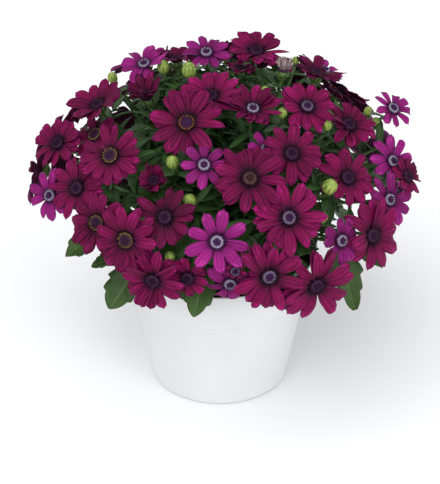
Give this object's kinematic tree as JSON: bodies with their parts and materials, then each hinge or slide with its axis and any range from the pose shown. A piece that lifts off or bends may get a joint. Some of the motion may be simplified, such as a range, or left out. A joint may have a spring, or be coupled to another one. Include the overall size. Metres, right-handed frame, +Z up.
{
  "type": "potted osteospermum",
  "caption": "Osteospermum in flower: a low dome of burgundy and magenta daisy-like blooms on leafy forked stems, planted in the soil of a plain tapered white pot.",
  "frame": {"origin": "centre of the pot's flat base, on the surface it stands on", "axes": "+Z up, -Y to the side seen in the picture, +X to that view's right"},
  "size_m": [0.297, 0.2982, 0.2759],
  "materials": {
    "petal_burgundy": "satin petals, dark wine red, paler and duskier on their backs",
    "petal_magenta": "satin petals, bright magenta, paler on their backs",
    "foliage": "matt leaf green, lighter veins and stalks",
    "pot": "smooth white plastic with a soft sheen",
    "soil": "rough dark potting mix"
  },
  "bodies": {
    "root": {"bloom_01": "petal_burgundy", "bloom_02": "petal_burgundy", "bloom_03": "petal_burgundy", "bloom_05": "petal_magenta", "bloom_06": "petal_burgundy", "bloom_08": "petal_burgundy", "bloom_09": "petal_magenta", "bloom_10": "petal_burgundy", "bloom_12": "petal_burgundy", "bloom_13": "petal_burgundy", "bloom_14": "petal_burgundy", "bloom_15": "petal_magenta", "bloom_16": "petal_magenta", "bloom_17": "petal_burgundy", "bloom_18": "petal_burgundy", "bloom_19": "petal_magenta", "bloom_22": "petal_burgundy", "bloom_23": "petal_magenta", "bloom_24": "petal_magenta", "bloom_25": "petal_burgundy", "bloom_26": "petal_burgundy", "bloom_27": "petal_burgundy", "bloom_28": "petal_burgundy", "bloom_29": "petal_magenta", "bloom_30": "petal_burgundy", "bloom_31": "petal_burgundy", "bloom_32": "petal_burgundy", "bloom_33": "petal_burgundy", "bloom_35": "petal_burgundy", "bloom_36": "petal_magenta", "bloom_38": "petal_magenta", "bloom_40": "petal_burgundy", "bloom_42": "petal_burgundy", "bloom_43": "petal_magenta", "bloom_44": "petal_burgundy", "bloom_45": "petal_magenta", "bloom_46": "petal_burgundy", "bloom_48": "petal_burgundy", "bloom_49": "petal_magenta", "leafy_stem_0": "foliage", "leafy_stem_1": "foliage", "leafy_stem_2": "foliage", "leafy_stem_3": "foliage", "leafy_stem_4": "foliage", "pot": "pot", "soil": "soil", "spray_00": "petal_burgundy", "spray_01": "petal_magenta", "spray_02": "petal_burgundy", "spray_03": "petal_burgundy", "spray_04": "petal_magenta", "spray_05": "petal_burgundy", "spray_06": "petal_burgundy"}
  },
  "joints": []
}
